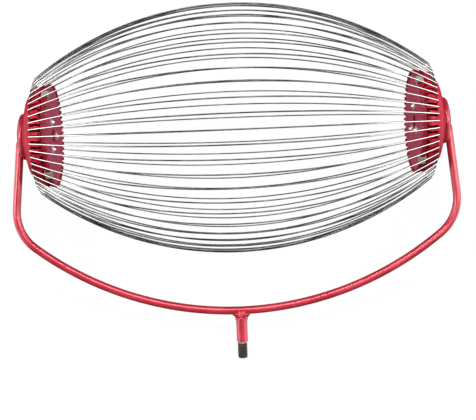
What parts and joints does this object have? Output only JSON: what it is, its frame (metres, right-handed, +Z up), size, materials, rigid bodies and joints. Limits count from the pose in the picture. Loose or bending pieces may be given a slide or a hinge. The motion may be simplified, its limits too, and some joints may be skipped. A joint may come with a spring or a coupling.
{
  "type": "rolling nut gatherer head",
  "caption": "Barrel of bowed spring wires between two toothed hubs, rolling freely in a bent-rod yoke with a threaded stud for a pole.",
  "frame": {"origin": "centre of the footprint of the head as it lies on a floor, z = 0 on the floor", "axes": "+X along the roller's spin axis, +Z up, the stud reaches down and out towards -Y"},
  "size_m": [0.4488, 0.322, 0.2475],
  "materials": {
    "red_paint": "smooth gloss powder coat, a little orange peel",
    "red_plastic": "satin moulded plastic",
    "disc_plastic": "satin moulded plastic, darker towards the barrel",
    "spring_wire": "bright drawn wire",
    "dark_steel": "oiled black steel thread",
    "plain_steel": "zinc-plated",
    "screw_steel": "bright nickel plate",
    "bush_plastic": "plain black nylon"
  },
  "bodies": {
    "yoke": {"yoke_rod": "red_paint", "yoke_shank": "red_paint", "yoke_weld": "red_paint", "pole_stud": "dark_steel", "left_end_cup": "red_paint", "right_end_cup": "red_paint", "left_axle_pin": "plain_steel", "right_axle_pin": "plain_steel", "left_axle_clip": "plain_steel", "right_axle_clip": "plain_steel", "left_stop_washer": "plain_steel", "right_stop_washer": "plain_steel", "left_thrust_washer": "plain_steel", "right_thrust_washer": "plain_steel"},
    "cage": {"cage_wires": "spring_wire", "left_outer_flange": "red_plastic", "right_outer_flange": "red_plastic", "left_inner_disc": "disc_plastic", "right_inner_disc": "disc_plastic", "left_rim_clips": "plain_steel", "right_rim_clips": "plain_steel", "left_hub_screws": "screw_steel", "right_hub_screws": "screw_steel", "left_bearing_bush": "bush_plastic", "right_bearing_bush": "bush_plastic"}
  },
  "joints": [
    {"name": "cage_spin", "type": "hinge", "parent": "yoke", "child": "cage", "pos_m": [0, 0.03723, 0.1238], "axis": [1, 0, 0], "continuous": true}
  ]
}
